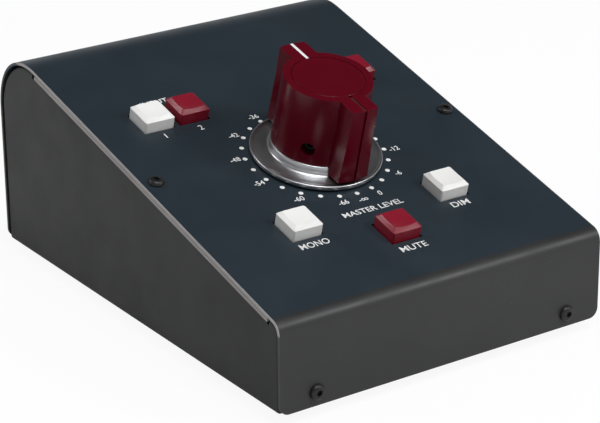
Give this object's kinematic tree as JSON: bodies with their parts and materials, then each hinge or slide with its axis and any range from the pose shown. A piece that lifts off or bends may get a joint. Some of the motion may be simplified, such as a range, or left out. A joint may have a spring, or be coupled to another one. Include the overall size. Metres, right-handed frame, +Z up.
{
  "type": "studio monitor controller",
  "caption": "Desktop studio monitor controller with a sloped panel, a winged stepped level knob, square push buttons and rear jacks.",
  "frame": {"origin": "centre of the footprint on the surface the feet stand on", "axes": "+X to the right, +Y to the rear where the jacks are, +Z up"},
  "size_m": [0.13, 0.1838, 0.0905],
  "materials": {
    "cover_paint": "navy powder coat on the panel, charcoal on the walls",
    "chassis_paint": "charcoal powder coat",
    "black_screws": "black oxide steel",
    "zinc_plate": "zinc plated steel",
    "circuit_board": "glass-epoxy board with green mask",
    "brass_parts": "turned brass",
    "resistor_body": "lacquered resistor",
    "black_plastic": "black moulded plastic",
    "nickel_plate": "nickel plated brass",
    "ribbon_grey": "grey ribbon insulation",
    "knob_maroon": "glossy maroon moulding",
    "print_white": "white ink",
    "spun_aluminium": "spun and turned aluminium",
    "foot_rubber": "black rubber",
    "cap_white": "white moulding",
    "cap_red": "dark red moulding"
  },
  "bodies": {
    "case": {"top_cover": "cover_paint", "bottom_chassis": "chassis_paint", "foot_front_left": "foot_rubber", "foot_front_right": "foot_rubber", "foot_rear_left": "foot_rubber", "foot_rear_right": "foot_rubber", "foot_screws": "black_screws", "panel_screws": "black_screws", "front_screws": "black_screws", "rear_screws": "black_screws", "clinch_nuts": "zinc_plate", "control_board": "circuit_board", "board_standoffs": "zinc_plate", "board_screws": "black_screws", "switch_bushing": "brass_parts", "switch_washer": "zinc_plate", "switch_nut": "zinc_plate", "index_housing": "zinc_plate", "index_ball": "zinc_plate", "index_spring": "zinc_plate", "contact_wafers": "circuit_board", "wafer_posts": "brass_parts", "terminal_pins": "brass_parts", "ladder_resistors": "resistor_body", "switch_housings": "black_plastic", "input_jacks": "black_plastic", "output_jacks": "black_plastic", "jack_nuts": "nickel_plate", "jack_washers": "nickel_plate", "jack_board": "circuit_board", "ribbon_headers": "black_plastic", "ribbon_cable": "ribbon_grey"},
    "knob": {"knob_shell": "knob_maroon", "knob_cap_disc": "knob_maroon", "pointer_line": "print_white", "knob_insert": "brass_parts", "grub_screw": "black_screws", "knob_skirt": "spun_aluminium", "switch_shaft": "brass_parts", "star_wheel": "brass_parts", "rotor_contacts": "brass_parts"},
    "input_1_button": {"input_1_cap": "cap_white", "input_1_plunger": "black_plastic"},
    "input_2_button": {"input_2_cap": "cap_red", "input_2_plunger": "black_plastic"},
    "output_1_button": {"output_1_cap": "cap_white", "output_1_plunger": "black_plastic"},
    "output_2_button": {"output_2_cap": "cap_red", "output_2_plunger": "black_plastic"},
    "mono_button": {"mono_cap": "cap_white", "mono_plunger": "black_plastic"},
    "mute_button": {"mute_cap": "cap_red", "mute_plunger": "black_plastic"},
    "dim_button": {"dim_cap": "cap_white", "dim_plunger": "black_plastic"}
  },
  "joints": [
    {"name": "level_knob", "type": "hinge", "parent": "case", "child": "knob", "pos_m": [0, -0.01657, 0.05462], "axis": [0, -0.256, 0.9667], "range_deg": [-165, 180]},
    {"name": "input_1_push", "type": "slide", "parent": "case", "child": "input_1_button", "axis": [0, -0.256, 0.9667], "range_m": [-0.003, 0], "stiffness_N_per_m": 500, "springref_m": 0.002},
    {"name": "input_2_push", "type": "slide", "parent": "case", "child": "input_2_button", "axis": [0, -0.256, 0.9667], "range_m": [-0.003, 0], "stiffness_N_per_m": 500, "springref_m": 0.002},
    {"name": "output_1_push", "type": "slide", "parent": "case", "child": "output_1_button", "axis": [0, -0.256, 0.9667], "range_m": [-0.003, 0], "stiffness_N_per_m": 500, "springref_m": 0.002},
    {"name": "output_2_push", "type": "slide", "parent": "case", "child": "output_2_button", "axis": [0, -0.256, 0.9667], "range_m": [-0.003, 0], "stiffness_N_per_m": 500, "springref_m": 0.002},
    {"name": "mono_push", "type": "slide", "parent": "case", "child": "mono_button", "axis": [0, -0.256, 0.9667], "range_m": [-0.003, 0], "stiffness_N_per_m": 500, "springref_m": 0.002},
    {"name": "mute_push", "type": "slide", "parent": "case", "child": "mute_button", "axis": [0, -0.256, 0.9667], "range_m": [-0.003, 0], "stiffness_N_per_m": 500, "springref_m": 0.002},
    {"name": "dim_push", "type": "slide", "parent": "case", "child": "dim_button", "axis": [0, -0.256, 0.9667], "range_m": [-0.003, 0], "stiffness_N_per_m": 500, "springref_m": 0.002}
  ]
}
